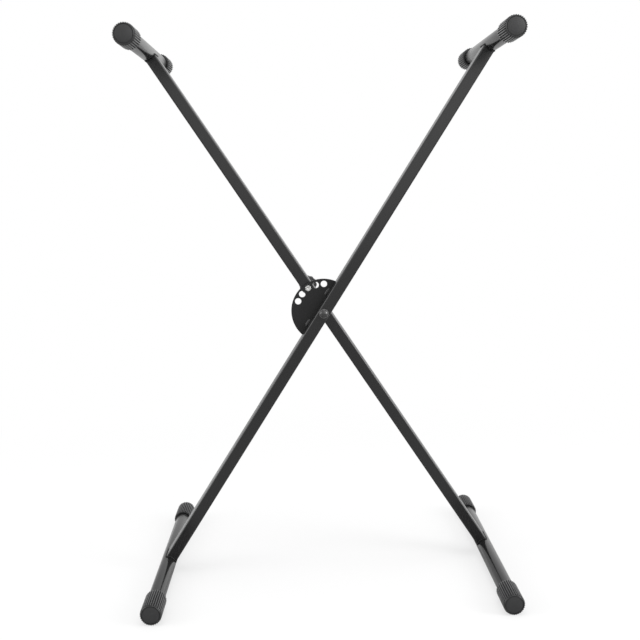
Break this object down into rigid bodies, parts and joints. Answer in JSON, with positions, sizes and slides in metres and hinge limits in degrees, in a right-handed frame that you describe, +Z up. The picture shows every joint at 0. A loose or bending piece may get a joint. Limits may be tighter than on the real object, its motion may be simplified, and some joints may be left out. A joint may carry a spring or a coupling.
{
  "type": "keyboard stand",
  "caption": "Folding X-shaped keyboard stand of black steel tube, with ribbed rubber end caps and a spring-loaded lock pin in a row of height holes.",
  "frame": {"origin": "on the floor, in the middle of the stand below the pivot, with the lock pin in line with the middle hole", "axes": "+Z up; the stand's front, with the bolt head, faces -Y; +X to the right seen from the front"},
  "size_m": [0.5856, 0.497, 0.878],
  "materials": {
    "black_paint": "semi-gloss black powder coat on steel",
    "black_rubber": "matte moulded rubber",
    "zinc": "bright zinc plate on steel",
    "black_bolt": "blackened steel",
    "spring_steel": "bare spring wire",
    "nylon": "black nylon",
    "black_plastic": "moulded black plastic"
  },
  "bodies": {
    "front_leg": {"front_leg_bar": "black_paint", "front_leg_top_tube": "black_paint", "front_leg_foot_tube": "black_paint", "front_leg_top_cap_front": "black_rubber", "front_leg_top_cap_rear": "black_rubber", "front_leg_foot_cap_front": "black_rubber", "front_leg_foot_cap_rear": "black_rubber", "lock_disc": "black_paint", "front_pivot_sleeve": "zinc", "pivot_spacer": "nylon", "pivot_washer_front": "black_bolt", "pivot_washer_rear": "black_bolt", "pivot_bolt": "black_bolt", "pivot_lock_nut": "zinc"},
    "rear_leg": {"rear_leg_bar": "black_paint", "rear_leg_top_tube": "black_paint", "rear_leg_foot_tube": "black_paint", "rear_leg_top_cap_front": "black_rubber", "rear_leg_top_cap_rear": "black_rubber", "rear_leg_foot_cap_front": "black_rubber", "rear_leg_foot_cap_rear": "black_rubber", "rear_pivot_sleeve": "zinc", "pin_barrel": "black_paint", "barrel_plug": "zinc", "lock_spring": "spring_steel"},
    "lock_pin": {"lock_pin": "zinc", "pull_knob": "black_plastic", "knob_screw": "black_bolt"}
  },
  "joints": [
    {"name": "fold", "type": "hinge", "parent": "front_leg", "child": "rear_leg", "pos_m": [0, 0, 0.43522], "axis": [0, -1, 0], "range_deg": [-61.99, 35.2]},
    {"name": "pin_slide", "type": "slide", "parent": "rear_leg", "child": "lock_pin", "axis": [0, 1, 0], "range_m": [-0.0033, 0.005], "stiffness_N_per_m": 800, "springref_m": -0.009, "deforming": ["lock_spring"]}
  ]
}
